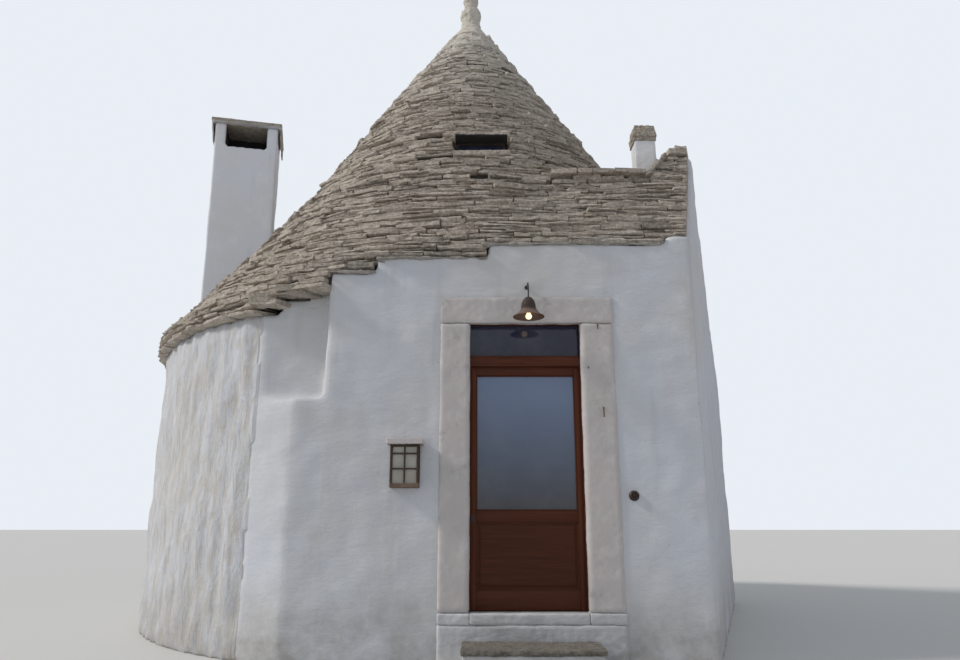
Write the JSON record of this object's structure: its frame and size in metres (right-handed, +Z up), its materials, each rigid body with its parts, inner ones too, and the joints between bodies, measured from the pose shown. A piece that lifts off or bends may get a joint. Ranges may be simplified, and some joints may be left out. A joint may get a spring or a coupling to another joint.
{
  "type": "trullo house",
  "caption": "Round dry-stone house under a corbelled cone with a finial, a flat white front with a glazed door, a side roof and two chimneys.",
  "frame": {"origin": "on the cone's axis at ground level, on the underside of the floor", "axes": "+Z up, -Y out of the front with the door, +X to the right seen from the front"},
  "size_m": [7.2964, 7.5048, 8.7329],
  "materials": {
    "limewash": "uneven limewash over rubble stone",
    "roof_stone": "weathered grey limestone slabs with lichen",
    "pale_stone": "pale dressed limestone",
    "floor_stone": "worn limestone paving",
    "timber": "dark red-brown stained wood",
    "pane": "clear glass",
    "milk_glass": "off-white glass",
    "bulb_glass": "lit bulb",
    "dark_iron": "dark iron",
    "rusty_iron": "rusty iron"
  },
  "bodies": {
    "root": {"floor_slab": "floor_stone", "drum_wall_left": "limewash", "drum_wall_back_left": "limewash", "drum_wall_back_right": "limewash", "drum_wall_right": "limewash", "front_wall_left": "limewash", "front_wall_right": "limewash", "front_wall_over_door": "limewash", "low_wall": "limewash", "party_gable": "limewash", "side_roof": "roof_stone", "inner_vault": "pale_stone", "eave_course": "pale_stone", "roof_lower": "roof_stone", "roof_middle": "roof_stone", "roof_upper": "roof_stone", "roof_cap": "pale_stone", "finial_collar": "pale_stone", "finial_ball": "roof_stone", "roof_window_slabs": "roof_stone", "roof_window_frame": "dark_iron", "roof_window_glass": "pane", "jamb_left": "pale_stone", "jamb_right": "pale_stone", "door_lintel": "pale_stone", "jamb_plinths": "pale_stone", "door_sill": "pale_stone", "base_block": "limewash", "step_block": "limewash", "step_tread": "roof_stone", "door_frame": "timber", "fanlight_glass": "pane", "hinge_frame_plates": "dark_iron", "lamp_bracket": "rusty_iron", "lamp_shade": "rusty_iron", "lamp_bulb": "bulb_glass", "lantern_frame": "rusty_iron", "lantern_panes": "milk_glass", "lantern_cap": "roof_stone", "round_bell": "dark_iron", "wall_hooks": "rusty_iron", "chimney_left_stack": "limewash", "chimney_left_cap": "roof_stone", "chimney_right_shaft": "limewash", "chimney_right_cap": "roof_stone"},
    "door": {"door_leaf": "timber", "door_glass": "pane", "door_panel": "timber", "door_handle": "dark_iron", "hinge_leaf_plates": "dark_iron"}
  },
  "joints": [
    {"name": "door_hinge", "type": "hinge", "parent": "root", "child": "door", "pos_m": [0.992, -3.192, 1.37], "axis": [0, 0, -1], "range_deg": [0, 90]}
  ]
}
